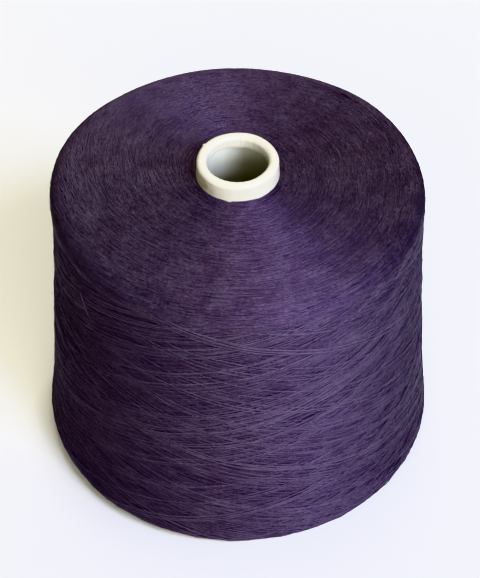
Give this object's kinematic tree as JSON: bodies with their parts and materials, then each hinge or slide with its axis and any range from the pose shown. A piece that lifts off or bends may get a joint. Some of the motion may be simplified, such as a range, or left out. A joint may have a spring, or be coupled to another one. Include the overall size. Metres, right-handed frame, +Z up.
{
  "type": "yarn cone on a paper tube",
  "caption": "Truncated cone of fine cross-wound yarn on a tapered paper tube whose rolled nose stands proud of the top.",
  "frame": {"origin": "on the tube's axis, in the plane of the tube's wide end, which it stands on", "axes": "+Z up along the tube's axis, towards the rolled nose"},
  "size_m": [0.1918, 0.1918, 0.17],
  "materials": {
    "paper": "smooth wound paper, satin",
    "yarn": "soft matt yarn, cross-wound"
  },
  "bodies": {
    "root": {"paper_tube": "paper", "yarn_winding": "yarn"}
  },
  "joints": []
}
